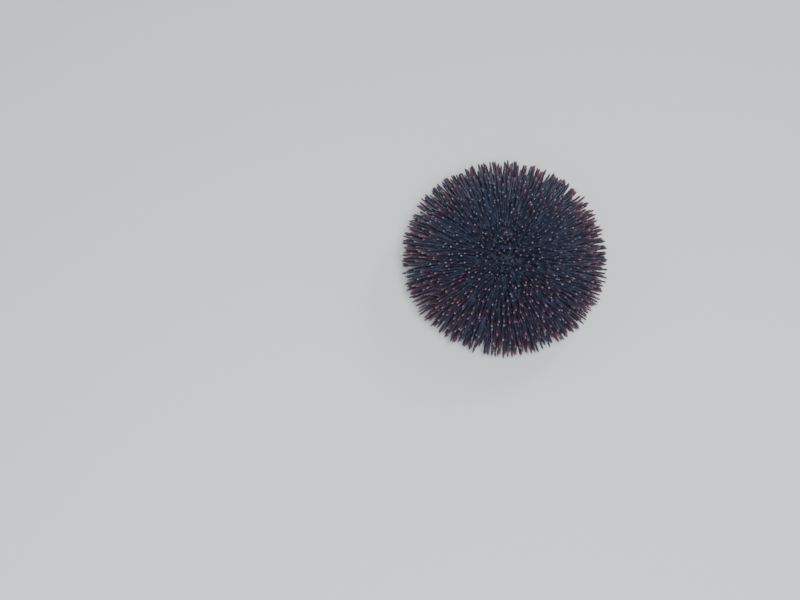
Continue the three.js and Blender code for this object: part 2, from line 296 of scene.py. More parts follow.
# The disc: large plates, small ones between their outer ends, and scales round the vent
PLATES = 5
SIEVE_PLATE_SIZE = 1.15
PLATE = SimpleNamespace(ring=3.75 * MM, long=1.5 * MM, wide=1.75 * MM, rise=0.5 * MM, sides=24, taper=0.12)
END_PLATE = SimpleNamespace(
    ring=5.05 * MM, long=0.72 * MM, wide=0.8 * MM, rise=0.35 * MM, sides=16, taper=-0.2
)
SCALE = SimpleNamespace(long=0.3 * MM, wide=0.34 * MM, rise=0.42 * MM, sides=10, taper=0.0)
SCALES = 26
SCALE_TURN = 2.39996
SCALE_RINGS = (0.75 * MM, 1.45 * MM)
PLATE_SQUARENESS = 3.2
PLATE_LEVELS = [(1.0, -0.25), (0.97, 0.45), (0.86, 0.8), (0.55, 0.97), (0.25, 1.0)]
PLATE_UNDERSIDE = 0.4

# The studio: name, place, size, power and colour of each light
FLOOR_REACH = 6.0
LIT_POINT = (0, 0, 0.03)
LIGHTS = [
    ("key_light", (0.75, 0.7, 1.15), 0.35, 8, (1, 0.97, 0.92)),
    ("fill_light", (-0.9, -0.7, 0.8), 1.0, 2, (0.86, 0.92, 1)),
    ("top_light", (0, -0.5, 1.15), 0.3, 36, (0.9, 0.95, 1)),
]
SKY_COLOUR = (0.86, 0.92, 1)
SKY_STRENGTH = 0.8

# The camera. The urchin's middle stands right of and above the middle of the 800 x 600 picture
ELEVATION = math.radians(66)
LENS = 60
SENSOR = 36
PICTURE_PIXELS = 800
URCHIN_WIDTH = 0.130
URCHIN_PIXELS = 207
URCHIN_MIDDLE = Vector((0, 0, 0.036))
PIXELS_RIGHT = 105
PIXELS_UP = 47

# Blender's vector noise starts from the clock unless it is given a seed
noise.seed_set(BUNCH_SEED)


# The shape of the test, and how spines stand on it


def meridian(angle):
    """Radius and height of the test at an angle from the apex, 0, to the mouth, pi."""
    power = 2 / SHOULDER_POWER
    cosine = math.cos(angle)
    side = TEST_RISE if cosine >= 0 else TEST_DROP
    radius = TEST_RADIUS * abs(math.sin(angle)) ** power
    rise = side * math.copysign(abs(cosine) ** power, cosine)
    return radius, AMBITUS_HEIGHT + rise


def angle_at_radius(radius, below):
    angle = math.asin((radius / TEST_RADIUS) ** (SHOULDER_POWER / 2))
    return math.pi - angle if below else angle


def height_at_radius(radius, below=False):
    return meridian(angle_at_radius(radius, below))[1]


def outward_normal(angle):
    r0, z0 = meridian(angle - NORMAL_STEP)
    r1, z1 = meridian(angle + NORMAL_STEP)
    return Vector((z0 - z1, r1 - r0)).normalized()


def spine_way(angle):
    """The way a spine points, as outward and upward parts."""
    radius, height = meridian(angle)
    from_focus = Vector((radius, height - SPINE_FOCUS)).normalized()
    way = outward_normal(angle).lerp(from_focus, RADIAL_SHARE)
    if way.y < 0:
        way.y *= UNDERSIDE_LIFT
    return way.normalized()


def spine_length(angle):
    end = APEX_SPINE if angle < math.pi / 2 else MOUTH_SPINE
    return end + (AMBITUS_SPINE - end) * math.sin(angle) ** LENGTH_CURVE


def on_ring(radius, turn, height):
    return Vector((math.cos(turn) * radius, math.sin(turn) * radius, height))


def arc_lengths():
    """Lengths along the meridian from the apex, at even steps of the angle."""
    lengths = [0.0]
    for step in range(1, ARC_STEPS + 1):
        r0, z0 = meridian(math.pi * (step - 1) / ARC_STEPS)
        r1, z1 = meridian(math.pi * step / ARC_STEPS)
        lengths.append(lengths[-1] + math.hypot(r1 - r0, z1 - z0))
    return lengths


ARC = arc_lengths()


def arc_share(angle):
    """How far along the meridian an angle is, from 0 at the apex to 1 at the mouth."""
    place = angle / math.pi * ARC_STEPS
    low = min(int(place), ARC_STEPS - 1)
    return (ARC[low] + (ARC[low + 1] - ARC[low]) * (place - low)) / ARC[-1]


def arc_at_radius(radius, below):
    return arc_share(angle_at_radius(radius, below)) * ARC[-1]


def angle_at_arc(length):
    low, high = 0, ARC_STEPS
    while high - low > 1:
        middle = (low + high) // 2
        if ARC[middle] > length:
            high = middle
        else:
            low = middle
    share = (length - ARC[low]) / (ARC[high] - ARC[low])
    return math.pi * (low + share) / ARC_STEPS


def parting_lean(place):
    """How far the spines at a place lean round the axis, away from the partings."""
    if not PARTING_LOW < place.z < PARTING_HIGH:
        return 0.0
    here = math.atan2(place.y, place.x)
    lean = 0.0
    for turn, width, most in PARTINGS:
        off = math.remainder(here - turn, FULL_TURN) / width
        lean += most * off * math.exp(0.5 - off * off)
    return lean


# Short ways to build a node tree


def add(tree, kind, inputs=None, **settings):
    """A new node, with its settings, and with its inputs set or linked by name or number."""
    node = tree.nodes.new(kind)
    for name, value in settings.items():
        setattr(node, name, value)
    for name, value in (inputs or {}).items():
        if isinstance(value, bpy.types.NodeSocket):
            tree.links.new(value, node.inputs[name])
        else:
            node.inputs[name].default_value = value
    return node


def maths(tree, operation, first, second=0.0, third=0.0):
    return add(tree, "ShaderNodeMath", {0: first, 1: second, 2: third}, operation=operation).outputs[0]


def joined(tree, *parts):
    return add(tree, "ShaderNodeCombineXYZ", dict(enumerate(parts))).outputs[0]


def parted(tree, vector):
    return add(tree, "ShaderNodeSeparateXYZ", {0: vector}).outputs


def attribute(tree, name, output="Fac"):
    return add(tree, "ShaderNodeAttribute", attribute_name=name).outputs[output]


def ramp(tree, factor, stops):
    node = add(tree, "ShaderNodeValToRGB", {"Fac": factor})
    marks = node.color_ramp.elements
    while len(marks) < len(stops):
        marks.new(1.0)
    for mark, (place, colour) in zip(marks, stops):
        mark.position = place
        mark.color = (*colour, 1)
    return node.outputs["Color"]


def mixed(tree, factor, first, second, blend="MIX"):
    node = add(tree, "ShaderNodeMix", {0: factor}, data_type="RGBA", blend_type=blend)
    for socket, value in ((node.inputs[6], first), (node.inputs[7], second)):
        if isinstance(value, bpy.types.NodeSocket):
            tree.links.new(value, socket)
        else:
            socket.default_value = (*value, 1)
    return node.outputs[2]


def object_places(tree):
    place = add(tree, "ShaderNodeTexCoord").outputs["Object"]
    return add(tree, "ShaderNodeMapping", {"Vector": place}).outputs[0]


def noise_on(tree, size, detail=3.0, roughness=0.55):
    """Cloudy noise over the piece, from 0 to 1, with features of a size in metres."""
    place = object_places(tree)
    node = add(tree, "ShaderNodeTexNoise", {"Vector": place, "Scale": 1 / size, "Detail": detail})
    node.inputs["Roughness"].default_value = roughness
    return node.outputs["Fac"]


def cells_on(tree, size):
    """Distance from the middles of cells of a size in metres, for knobs and stipple."""
    inputs = {"Vector": object_places(tree), "Scale": 1 / size}
    return add(tree, "ShaderNodeTexVoronoi", inputs).outputs["Distance"]


def bump(tree, shader, height, distance, strength=1.0):
    node = add(tree, "ShaderNodeBump", {"Height": height, "Distance": distance, "Strength": strength})
    tree.links.new(node.outputs["Normal"], shader.inputs["Normal"])


def finish_of(name, roughness=0.5, **constants):
    """A new material with its shader, whose constant values are set on the shader itself."""
    material = bpy.data.materials.new(name)
    material.use_nodes = True
    tree = material.node_tree
    shader = tree.nodes["Principled BSDF"]
    shader.inputs["Roughness"].default_value = roughness
    for socket, value in constants.items():
        shader.inputs[socket.replace("_", " ")].default_value = value
    return material, tree, shader


# The finishes


def spine_calcite(name, pale_and_highlight, rib_depth):
    """Violet calcite, wine-red on some spines, with fine lengthwise ribs and a pale tip on most: partly the
    tip's own paler calcite, partly a painted highlight of light glinting on the rounded tip.
    """
    material, tree, shader = finish_of(name, Specular_IOR_Level=0.2)
    along = attribute(tree, "along")
    mottle = maths(tree, "SUBTRACT", noise_on(tree, MOTTLE_SIZE), 0.5)
    shifted = maths(tree, "ADD", along, maths(tree, "MULTIPLY", mottle, MOTTLE_SHIFT))
    wine = attribute(tree, "wine")
    # Painted light: both shaft ramps lighten towards the root, lifting the shaded gaps between the spines
    shaft = mixed(tree, wine, ramp(tree, shifted, VIOLET_AND_GAP_LIGHT_STOPS), ramp(tree, shifted, WINE_AND_GAP_LIGHT_STOPS))
    shade = maths(tree, "MULTIPLY_ADD", noise_on(tree, SHADE_SIZE), SHADE_SPAN, SHADE_LEAST)
    shaft = mixed(tree, 1.0, shaft, joined(tree, shade, shade, shade), "MULTIPLY")
    # Painted highlight with the tip's own paleness: each spine draws how pale and glinting its tip is
    own_draw = maths(tree, "FRACT", maths(tree, "MULTIPLY", attribute(tree, "tone"), PALE_DRAW))
    paleness_and_highlight = maths(tree, "POWER", own_draw, PALE_POWER)
    capped = ramp(tree, along, TIP_PALE_AND_HIGHLIGHT_MASK)
    colour = mixed(tree, maths(tree, "MULTIPLY", capped, paleness_and_highlight), shaft, pale_and_highlight)
    tree.links.new(colour, shader.inputs["Base Color"])
    wet = maths(tree, "MULTIPLY_ADD", noise_on(tree, WET_SIZE), WET_SPAN, WET_LEAST)
    tree.links.new(wet, shader.inputs["Roughness"])
    around = parted(tree, attribute(tree, "round", "Vector"))[0]
    ribs = maths(tree, "SINE", maths(tree, "MULTIPLY", around, FULL_TURN * SPINE_RIBS))
    bump(tree, shader, ribs, rib_depth)
    return material


def test_skin():
    """The living skin over the test: dark violet, grained with knobs, and paler in ten pore bands."""
    material, tree, shader = finish_of("test_skin", 0.6, Specular_IOR_Level=0.08)
    across, deep, _ = parted(tree, object_places(tree))
    turn = maths(tree, "ARCTAN2", deep, across)
    pair = maths(tree, "FRACT", maths(tree, "MULTIPLY", turn, ZONE_PAIRS / FULL_TURN))
    off = maths(tree, "ABSOLUTE", maths(tree, "SUBTRACT", pair, AMBULACRUM_SHARE / 2))
    band = maths(tree, "ABSOLUTE", maths(tree, "SUBTRACT", off, AMBULACRUM_SHARE * PORE_PLACE))
    pores = maths(tree, "LESS_THAN", band, PORE_WIDTH)
    base = ramp(tree, noise_on(tree, SKIN_CLOUDS), SKIN_STOPS)
    banded = mixed(tree, maths(tree, "MULTIPLY", pores, PORE_SHARE), base, PORE_COLOUR)
    grain = cells_on(tree, KNOB_SIZE)
    colour = mixed(tree, KNOB_SHADE, banded, ramp(tree, grain, KNOB_STOPS), "MULTIPLY")
    tree.links.new(colour, shader.inputs["Base Color"])
    bump(tree, shader, maths(tree, "SUBTRACT", 1.0, grain), KNOB_RISE, KNOB_STRENGTH)
    return material


def soft_membrane(name, dark, light, grain_size):
    """Moist soft skin, blotched from dark to light, with a fine grain."""
    material, tree, shader = finish_of(name, 0.45, Subsurface_Weight=0.08, Subsurface_Scale=0.5 * MM)
    blotch = noise_on(tree, BLOTCH_SIZE, detail=4.0)
    grain = noise_on(tree, grain_size, detail=2.0)
    stops = list(zip(BLOTCH_MARKS, (dark, light)))
    tree.links.new(ramp(tree, blotch, stops), shader.inputs["Base Color"])
    moist = maths(tree, "MULTIPLY_ADD", grain, MOIST_SPAN, MOIST_LEAST)
    tree.links.new(moist, shader.inputs["Roughness"])
    bump(tree, shader, grain, GRAIN_RISE)
    return material


def disc_plate():
    """The plates of the disc: dusky violet calcite, stippled, paler on their crowns."""
    material, tree, shader = finish_of("disc_plate")
    base = ramp(tree, attribute(tree, "crown"), PLATE_STOPS)
    shade = ramp(tree, noise_on(tree, PLATE_CLOUDS), PLATE_SHADES)
    tree.links.new(mixed(tree, 1.0, base, shade, "MULTIPLY"), shader.inputs["Base Color"])
    bump(tree, shader, cells_on(tree, STIPPLE_SIZE), STIPPLE_RISE)
    return material


def tooth_enamel():
    """Off-white enamel, stained brown towards the gum, with faint growth lines."""
    material, tree, shader = finish_of("tooth_enamel", 0.28, Coat_Weight=0.3, Coat_Roughness=0.15)
    height = parted(tree, object_places(tree))[2]
    level = maths(tree, "DIVIDE", maths(tree, "SUBTRACT", height, ENAMEL_FOOT), ENAMEL_HEIGHT)
    stain = maths(tree, "ADD", level, maths(tree, "MULTIPLY", noise_on(tree, STAIN_SIZE), STAIN_SHARE))
    tree.links.new(ramp(tree, stain, ENAMEL_STOPS), shader.inputs["Base Color"])
    lines = add(tree, "ShaderNodeTexWave", {"Vector": object_places(tree), "Scale": 1 / GROWTH_LINE})
    lines.bands_direction = "Z"
    lines.inputs["Distortion"].default_value = GROWTH_LINE_WAVER
    bump(tree, shader, lines.outputs["Fac"], GROWTH_LINE_RISE)
    return material


def studio_floor():
    material, _, shader = finish_of("studio_floor", 0.85)
    shader.inputs["Base Color"].default_value = (*FLOOR_COLOUR, 1)
    return material


# What repeats: spines, small spines and tube feet, grown from roots by one kind of tree


def curve(tree, value, points):
    node = add(tree, "ShaderNodeFloatCurve", {"Value": value})
    line = node.mapping.curves[0]
    while len(line.points) < len(points):
        line.points.new(0.5, 0.5)
    for point, (x, y) in zip(line.points, points):
        point.location = (x, y)
        point.handle_type = "AUTO_CLAMPED"
    node.mapping.use_clip = False
    node.mapping.update()
    return node.outputs[0]


def store(tree, geometry, name, value, kind="FLOAT", domain="POINT"):
    node = add(tree, "GeometryNodeStoreNamedAttribute", data_type=kind, domain=domain)
    node.inputs["Name"].default_value = name
    tree.links.new(geometry, node.inputs["Geometry"])
    tree.links.new(value, node.inputs["Value"])
    return node.outputs[0]


def named(tree, name, kind="FLOAT"):
    return add(tree, "GeometryNodeInputNamedAttribute", {"Name": name}, data_type=kind).outputs[0]


def formed_shape(tree, sides, rings, spacing, outline):
    """One upright shape of height 1, from a cylinder whose rings follow the outline."""
    shape = add(
        tree,
        "GeometryNodeMeshCylinder",
        {"Vertices": sides, "Side Segments": rings, "Radius": 1.0, "Depth": 1.0},
        fill_type="TRIANGLE_FAN",
    )
    across, deep, high = parted(tree, add(tree, "GeometryNodeInputPosition").outputs[0])
    flat = joined(tree, across, deep)
    from_axis = add(tree, "ShaderNodeVectorMath", {0: flat}, operation="LENGTH").outputs[1]
    raised = maths(tree, "ADD", high, 0.5)
    lowered = maths(tree, "SUBTRACT", 1.0, maths(tree, "MULTIPLY", from_axis, CAP_DIP))
    along = curve(tree, maths(tree, "MULTIPLY", raised, lowered), spacing)
    width = curve(tree, along, outline)
    stored = store(tree, shape.outputs["Mesh"], "along", along)
    stored = store(tree, stored, "round", shape.outputs["UV Map"], "FLOAT_VECTOR", "CORNER")
    place = joined(tree, maths(tree, "MULTIPLY", across, width), maths(tree, "MULTIPLY", deep, width), along)
    return add(tree, "GeometryNodeSetPosition", {"Geometry": stored, "Position": place}).outputs[0]


def root_rotation(tree):
    """Turns a shape to its root's way, and rolls it about that way."""
    way = named(tree, "way", "FLOAT_VECTOR")
    turned = add(tree, "FunctionNodeAlignRotationToVector", {"Vector": way}, axis="Z").outputs[0]
    about = {"Axis": (0, 0, 1), "Angle": named(tree, "roll")}
    roll = add(tree, "FunctionNodeAxisAngleToRotation", about).outputs[0]
    both = {"Rotation": turned, "Rotate By": roll}
    return add(tree, "FunctionNodeRotateRotation", both, rotation_space="LOCAL").outputs[0]


def bake_place(tree, patch_size):
    """Each shape's own patch on the skin's unwrap, about its root's place."""
    around = parted(tree, named(tree, "round", "FLOAT_VECTOR"))[0]
    up = maths(tree, "POWER", named(tree, "along"), BAKE_POWER)
    offset = joined(tree, maths(tree, "SUBTRACT", around, 0.5), maths(tree, "SUBTRACT", up, 0.5))
    scaled = {0: offset, "Scale": patch_size}
    sized = add(tree, "ShaderNodeVectorMath", scaled, operation="SCALE").outputs[0]
    moved = {0: named(tree, "patch", "FLOAT_VECTOR"), 1: sized}
    return add(tree, "ShaderNodeVectorMath", moved, operation="ADD").outputs[0]


def grower(name, sides, rings, spacing, outline):
    """A tree that grows a slim shape at each root, along its way, to its own length and girth."""
    tree = bpy.data.node_groups.new(name, "GeometryNodeTree")
    sockets = tree.interface
    sockets.new_socket("Roots", in_out="INPUT", socket_type="NodeSocketGeometry")
    sockets.new_socket("Radius", in_out="INPUT", socket_type="NodeSocketFloat")
    sockets.new_socket("Patch size", in_out="INPUT", socket_type="NodeSocketFloat")
    sockets.new_socket("Finish", in_out="INPUT", socket_type="NodeSocketMaterial")
    sockets.new_socket("Grown", in_out="OUTPUT", socket_type="NodeSocketGeometry")
    entry = add(tree, "NodeGroupInput").outputs
    girth = maths(tree, "MULTIPLY", named(tree, "girth"), entry["Radius"])
    planting = {
        "Points": entry["Roots"],
        "Instance": formed_shape(tree, sides, rings, spacing, outline),
        "Rotation": root_rotation(tree),
        "Scale": joined(tree, girth, girth, named(tree, "reach")),
    }
    planted = add(tree, "GeometryNodeInstanceOnPoints", planting).outputs[0]
    real = add(tree, "GeometryNodeRealizeInstances", {"Geometry": planted}).outputs[0]
    mapped = store(tree, real, "OFBake", bake_place(tree, entry["Patch size"]), "FLOAT2", "CORNER")
    for spent in ("way", "reach", "girth", "roll", "patch"):
        mapped = add(tree, "GeometryNodeRemoveAttribute", {"Geometry": mapped, "Name": spent}).outputs[0]
    smooth = add(tree, "GeometryNodeSetShadeSmooth", {"Geometry": mapped}).outputs[0]
    finished = {"Geometry": smooth, "Material": entry["Finish"]}
    dressed = add(tree, "GeometryNodeSetMaterial", finished).outputs[0]
    add(tree, "NodeGroupOutput", {"Grown": dressed})
    return tree


def grow(name, roots, tree, radius, finish):
    """Plants the tree's shape at every root and returns the result as a plain mesh."""
    mesh = bpy.data.meshes.new(name)
    mesh.from_pydata([root["place"] for root in roots], [], [])
    for label in ("way", "patch"):
        layer = mesh.attributes.new(label, "FLOAT_VECTOR", "POINT")
        layer.data.foreach_set("vector", [part for root in roots for part in root[label]])
    for label in ("reach", "girth", "roll", "tone", "wine"):
        layer = mesh.attributes.new(label, "FLOAT", "POINT")
        layer.data.foreach_set("value", [root[label] for root in roots])
    piece = bpy.data.objects.new(name, mesh)
    bpy.context.scene.collection.objects.link(piece)
    modifier = piece.modifiers.new("grown", "NODES")
    modifier.node_group = tree
    given = {"Radius": radius, "Patch size": BAKE_PATCH, "Finish": finish}
    for socket in tree.interface.items_tree:
        if socket.in_out == "INPUT" and socket.name in given:
            modifier[socket.identifier] = given[socket.name]
    graph = bpy.context.evaluated_depsgraph_get()
    evaluated = piece.evaluated_get(graph)
    plain = bpy.data.meshes.new_from_object(evaluated, preserve_all_data_layers=True, depsgraph=graph)
    piece.modifiers.clear()
    piece.data = plain
    plain.name = name
    plain.uv_layers["OFBake"].active = True
    plain.uv_layers["OFBake"].active_render = True
    return piece


def root_at(kind, angle, turn, length, girth, draw):
    """One root on the test, with the way and the length of what grows there."""
    radius, height = meridian(angle)
    foot = on_ring(radius, turn, height)
    outward, upward = spine_way(angle)
    shared = Vector((foot.x / BUNCH_SIZE, foot.y / BUNCH_SIZE, foot.z / BUNCH_HEIGHT))
    bunch = noise.noise_vector(shared) * kind.bunch
    lean = Vector([draw.uniform(-1, 1) * kind.lean for _ in range(3)])
    way = (on_ring(outward, turn + parting_lean(foot), upward) + bunch + lean).normalized()
    tip = foot + way * length
    if tip.z < TIP_CLEAR and way.z < 0:
        length = (foot.z - TIP_CLEAR) / -way.z
    wine = WINE_LEAST + WINE_AT_RIM * math.sin(angle) ** WINE_RIM_POWER
    wine += WINE_IN_PATCHES * noise.noise(foot / WINE_PATCH) + draw.uniform(-WINE_SPREAD, WINE_SPREAD)
    return {
        "place": foot - way * kind.sink,
        "way": way,
        "reach": length + kind.sink,
        "girth": girth,
        "roll": draw.uniform(0, FULL_TURN),
        "tone": draw.random(),
        "wine": min(1.0, max(0.0, wine * WINE_GAIN)),
        "patch": Vector((turn / FULL_TURN % 1.0, 1 - arc_share(angle), 0)),
        "turn": turn % FULL_TURN,
    }


def spine_roots():
    """The main spines: in columns down the sides, and in looser rings towards the disc and the mouth."""
    draw = random.Random(SPINE_SEED)
    length = arc_at_radius(APICAL_RADIUS + SPINE_FROM_DISC, False)
    last = arc_at_radius(MOUTH_RADIUS + SPINE_FROM_MOUTH, True)
    roots = []
    shift = 0.0
    while length < last:
        radius = meridian(angle_at_arc(length))[0]
        if radius > COLUMN_RADIUS:
            gap, count, stray = COLUMN_GAP, COLUMNS, COLUMN_STRAY
            shift = draw.uniform(-COLUMN_SHIFT, COLUMN_SHIFT)
        else:
            gap, stray = RING_GAP, RING_STRAY
            count = round(FULL_TURN * radius / (RING_GAP * RING_LOOSENESS))
            shift += RING_SHIFT + draw.uniform(-RING_SHIFT_STRAY, RING_SHIFT_STRAY)
        for i in range(count):
            turn = (i + shift + draw.uniform(-stray, stray)) / count * FULL_TURN
            angle = angle_at_arc(min(last, length + draw.uniform(-ROW_STRAY, ROW_STRAY) * gap))
            reach = spine_length(angle) * (1 + draw.uniform(-1, 1) * LENGTH_SPREAD)
            if draw.random() < SHORT_SHARE:
                reach *= draw.uniform(*SHORTENED)
            roots.append(root_at(SPINE, angle, turn, reach, draw.uniform(*SPINE.girths), draw))
        length += gap * ROW_OVERLAP
    return roots


def small_spine_roots():
    """Short thin spines among the main ones."""
    draw = random.Random(SMALL_SEED)
    first = arc_at_radius(APICAL_RADIUS + SMALL_FROM_DISC, False)
    last = arc_at_radius(MOUTH_RADIUS + SMALL_FROM_MOUTH, True)
    rows = round((last - first) / SMALL_GAP)
    roots = []
    for row in range(rows + 1):
        length = first + (last - first) * row / rows
        radius = meridian(angle_at_arc(length))[0]
        count = round(FULL_TURN * radius / SMALL_GAP)
        for i in range(count):
            turn = (i + draw.uniform(-SMALL_STRAY, SMALL_STRAY)) / count * FULL_TURN
            strayed = length + draw.uniform(-SMALL_STRAY, SMALL_STRAY) * SMALL_GAP
            angle = angle_at_arc(min(last, max(first, strayed)))
            reach = spine_length(angle) * draw.uniform(*SMALL_SHARES)
            roots.append(root_at(SMALL_SPINE, angle, turn, reach, draw.uniform(*SMALL_SPINE.girths), draw))
    return roots


def tube_foot_roots():
    """Tube feet in two bands down each ambulacrum, reaching out only on the lower half."""
    draw = random.Random(FOOT_SEED)
    roots = []
    for pair in range(ZONE_PAIRS):
        for side in FOOT_BANDS:
            middle = (pair + AMBULACRUM_SHARE * side) / ZONE_PAIRS * FULL_TURN
            for row in range(FOOT_ROWS):
                share = FOOT_FIRST + FOOT_SPAN * row / (FOOT_ROWS - 1)
                angle = math.pi * share + draw.uniform(-FOOT_ANGLE_STRAY, FOOT_ANGLE_STRAY)
                if meridian(angle)[0] < MOUTH_RADIUS + FOOT_FROM_MOUTH:
                    continue
                turn = middle + draw.uniform(-FOOT_TURN_STRAY, FOOT_TURN_STRAY)
                roots.append(root_at(TUBE_FOOT, angle, turn, draw.uniform(*FOOT_LENGTHS), 1.0, draw))
    return roots


def disc_spine_roots():
    """The few small spines that stand between the plates of the disc, an outer and an inner ring."""
    draw = random.Random(DISC_SEED)
    roots = []
    for i in range(DISC_RING_SPINES * len(DISC_RINGS)):
        turn = (i + draw.uniform(-DISC_TURN_STRAY, DISC_TURN_STRAY)) / DISC_RING_SPINES * FULL_TURN
        ring = DISC_RINGS[i // DISC_RING_SPINES]
        angle = angle_at_radius(ring + draw.uniform(-DISC_RING_STRAY, DISC_RING_STRAY), False)
        reach = draw.uniform(*DISC_LENGTHS)
        roots.append(root_at(DISC_SPINE, angle, turn, reach, draw.uniform(*DISC_SPINE.girths), draw))
    return roots


# The pieces that are made one by one


def piece_from(name, points, faces, finish, crowns=None, recalculate=False):
    """A smooth piece from points and faces, turned outwards where its rings may run either way."""
    mesh = bpy.data.meshes.new(name)
    mesh.from_pydata(points, [], faces)
    if crowns:
        layer = mesh.attributes.new("crown", "FLOAT", "POINT")
        layer.data.foreach_set("value", crowns)
    if recalculate:
        form = bmesh.new()
        form.from_mesh(mesh)
        bmesh.ops.recalc_face_normals(form, faces=form.faces)
        form.to_mesh(mesh)
        form.free()
    mesh.materials.append(finish)
    for face in mesh.polygons:
        face.use_smooth = True
    piece = bpy.data.objects.new(name, mesh)
    bpy.context.scene.collection.objects.link(piece)
    return piece


def ring_faces(first, sides, rings):
    """The faces between rings of points that follow one another."""
    faces = []
    for ring in range(rings - 1):
        low = first + ring * sides
        for i in range(sides):
            after = (i + 1) % sides
            faces.append((low + i, low + after, low + sides + after, low + sides + i))
    return faces


def revolved(profile, sides, shape=None):
    """Points and faces turned from a profile of (radius, height) that starts and ends on the axis."""
    points, faces = [], []
    rings = profile[1:-1]
    points.append(Vector((0, 0, profile[0][1])))
    for radius, height in rings:
        for i in range(sides):
            turn = i / sides * FULL_TURN
            point = on_ring(radius, turn, height)
            points.append(shape(point, turn) if shape else point)
    points.append(Vector((0, 0, profile[-1][1])))
    last = len(points) - 1
    for i in range(sides):
        after = (i + 1) % sides
        faces.append((0, 1 + i, 1 + after))
        for ring in range(len(rings) - 1):
            low = 1 + ring * sides
            faces.append((low + i, low + sides + i, low + sides + after, low + after))
        foot = 1 + (len(rings) - 1) * sides
        faces.append((foot + i, last, foot + after))
    return points, faces


def unwrap_by_shape(mesh):
    """The skin's own unwrap: the turn about the axis across, and the way down the meridian up."""
    layer = mesh.uv_layers.new(name="OFBake")
    for face in mesh.polygons:
        turns = []
        for corner in face.loop_indices:
            place = mesh.vertices[mesh.loops[corner].vertex_index].co
            turns.append(math.atan2(place.y, place.x) / FULL_TURN % 1.0)
        wrapped = max(turns) - min(turns) > 0.5
        for corner, turn in zip(face.loop_indices, turns):
            place = mesh.vertices[mesh.loops[corner].vertex_index].co
            radius = math.hypot(place.x, place.y)
            share = arc_share(angle_at_radius(min(radius, TEST_RADIUS), place.z < AMBITUS_HEIGHT))
            if wrapped and turn < 0.5:
                turn += 1.0
            layer.data[corner].uv = (turn, 1 - share)


def make_skin(finish):
    """The skin over the whole test, folded in round the mouth and closed above it."""
    mouth_edge = angle_at_radius(MOUTH_RADIUS + RIM_SEAM, True)
    profile = [meridian(mouth_edge * i / SKIN_STEPS) for i in range(SKIN_STEPS + 1)]
    foot_radius, foot_height = profile[-1]
    profile[0] = (0, profile[0][1])
    profile += [(foot_radius - inward, foot_height + up) for inward, up in SKIN_FOLD]
    profile += [(foot_radius * SKIN_ROOF_SHARE, foot_height + SKIN_ROOF), (0, foot_height + SKIN_ROOF)]
    piece = piece_from("skin", *revolved(profile, SKIN_SIDES), finish)
    unwrap_by_shape(piece.data)
    return piece


def make_membrane(finish):
    """The mouth's soft disc, folded round the lip, with a frilled lip."""
    edge, edge_height = meridian(angle_at_radius(MOUTH_RADIUS - RIM_SEAM, True))
    hollow = edge_height + MEMBRANE_HOLLOW

    def folds(point, turn):
        radius = math.hypot(point.x, point.y)
        if radius > edge - RIM_STILL or radius < LIP_INSIDE:
            return point
        near_lip = math.exp(-(((radius - LIP_RADIUS) / LIP_SPREAD) ** 2))
        frill = math.sin(turn * FRILLS + FRILL_DRIFT * math.sin(turn * FRILL_DRIFT)) * FRILL
        wave = frill + math.sin(turn * FOLDS) * FOLD
        ripple = noise.noise(point / RIPPLE_SIZE) * RIPPLE
        return point + Vector((0, 0, wave * near_lip + ripple))

    shape = [(edge + out * MM, edge_height + up * MM) for out, up in MEMBRANE_EDGE]
    shape += [(LIP_RADIUS + out * MM, hollow + up * MM) for out, up in LIP_OUTLINE]
    shape += [(THROAT_RADIUS, hollow + THROAT_DEPTH), (0, hollow + THROAT_DEPTH)]
    profile = [(0, hollow + MEMBRANE_THICKNESS), (edge, hollow + MEMBRANE_THICKNESS)]
    for (r0, z0), (r1, z1) in zip(shape, shape[1:]):
        for step in range(MEMBRANE_STEPS):
            profile.append((r0 + (r1 - r0) * step / MEMBRANE_STEPS, z0 + (z1 - z0) * step / MEMBRANE_STEPS))
    profile.append(shape[-1])
    return piece_from("mouth_skin", *revolved(profile, MEMBRANE_SIDES, folds), finish)


def make_tooth(number, finish):
    """One tooth: curved, keeled and worn to a chisel edge beside the axis."""
    root_height = height_at_radius(MOUTH_RADIUS - RIM_SEAM, True) + TOOTH_ROOT_DEPTH
    turn = number / TEETH * FULL_TURN
    out = on_ring(1, turn, 0)
    side = on_ring(1, turn + math.pi / 2, 0)
    points = []
    for step in range(TOOTH_STEPS + 1):
        share = step / TOOTH_STEPS
        bulge = math.sin(share * math.pi * TOOTH_BEND) * TOOTH_BULGE
        outer = TOOTH_ROOT.outer * (1 - share) ** TOOTH_TAPER + TOOTH_TIP.outer * share + bulge
        inner = TOOTH_ROOT.inner + (TOOTH_TIP.inner - TOOTH_ROOT.inner) * share
        half = TOOTH_ROOT.half * (1 - share) + TOOTH_TIP.half * share
        centre = out * (inner + outer) / 2 + Vector((0, 0, root_height - TOOTH_LENGTH * share))
        deep = (outer - inner) / 2
        for i in range(TOOTH_SIDES):
            around = i / TOOTH_SIDES * FULL_TURN
            flat = math.cos(around)
            wide = math.sin(around) * (1 - TOOTH_KEEL + TOOTH_KEEL * flat)
            squared = math.copysign(abs(flat) ** TOOTH_SQUARENESS, flat)
            points.append(centre + out * deep * squared + side * half * wide)
    faces = ring_faces(0, TOOTH_SIDES, TOOTH_STEPS + 1)
    faces.append(tuple(reversed(range(TOOTH_SIDES))))
    faces.append(tuple(range(TOOTH_STEPS * TOOTH_SIDES, (TOOTH_STEPS + 1) * TOOTH_SIDES)))
    return piece_from(f"tooth_enamel_{number}", points, faces, finish, recalculate=True)


